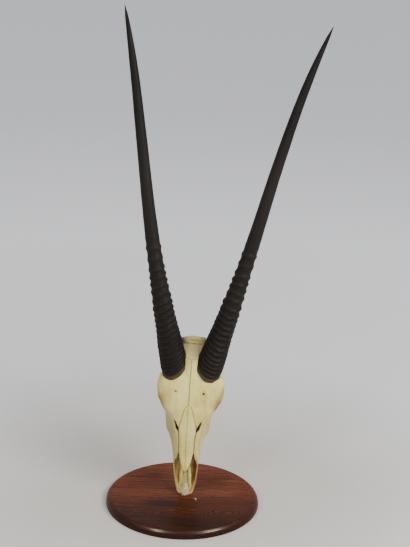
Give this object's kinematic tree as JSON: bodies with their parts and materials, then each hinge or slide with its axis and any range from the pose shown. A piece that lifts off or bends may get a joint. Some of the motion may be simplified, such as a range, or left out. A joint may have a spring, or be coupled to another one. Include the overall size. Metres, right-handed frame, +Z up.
{
  "type": "gemsbok skull and horns on a wooden stand",
  "caption": "Bleached gemsbok skull with two long ringed horns, fixed nose down on a round varnished wooden board",
  "frame": {"origin": "centre of the board's underside, on the surface the object stands on", "axes": "+Z up, the face looks along -Y, +X toward the horn that leans out more"},
  "size_m": [0.5093, 0.38, 1.2032],
  "materials": {
    "varnished_wood": "reddish brown wood under glossy varnish",
    "zinc_steel": "zinc plated steel",
    "plaster": "dry white filler",
    "bone": "bleached bone, dull, with ochre stains",
    "horn": "dark keratin with a low satin sheen",
    "tooth": "stained enamel"
  },
  "bodies": {
    "root": {"base_board": "varnished_wood", "screw_left": "zinc_steel", "screw_right": "zinc_steel", "plaster_plug": "plaster", "skull": "bone", "horn_sheath_left": "horn", "horn_sheath_right": "horn", "premolar_2_left": "tooth", "premolar_3_left": "tooth", "premolar_4_left": "tooth", "molar_1_left": "tooth", "molar_2_left": "tooth", "molar_3_left": "tooth", "premolar_2_right": "tooth", "premolar_3_right": "tooth", "premolar_4_right": "tooth", "molar_1_right": "tooth", "molar_2_right": "tooth", "molar_3_right": "tooth"}
  },
  "joints": []
}
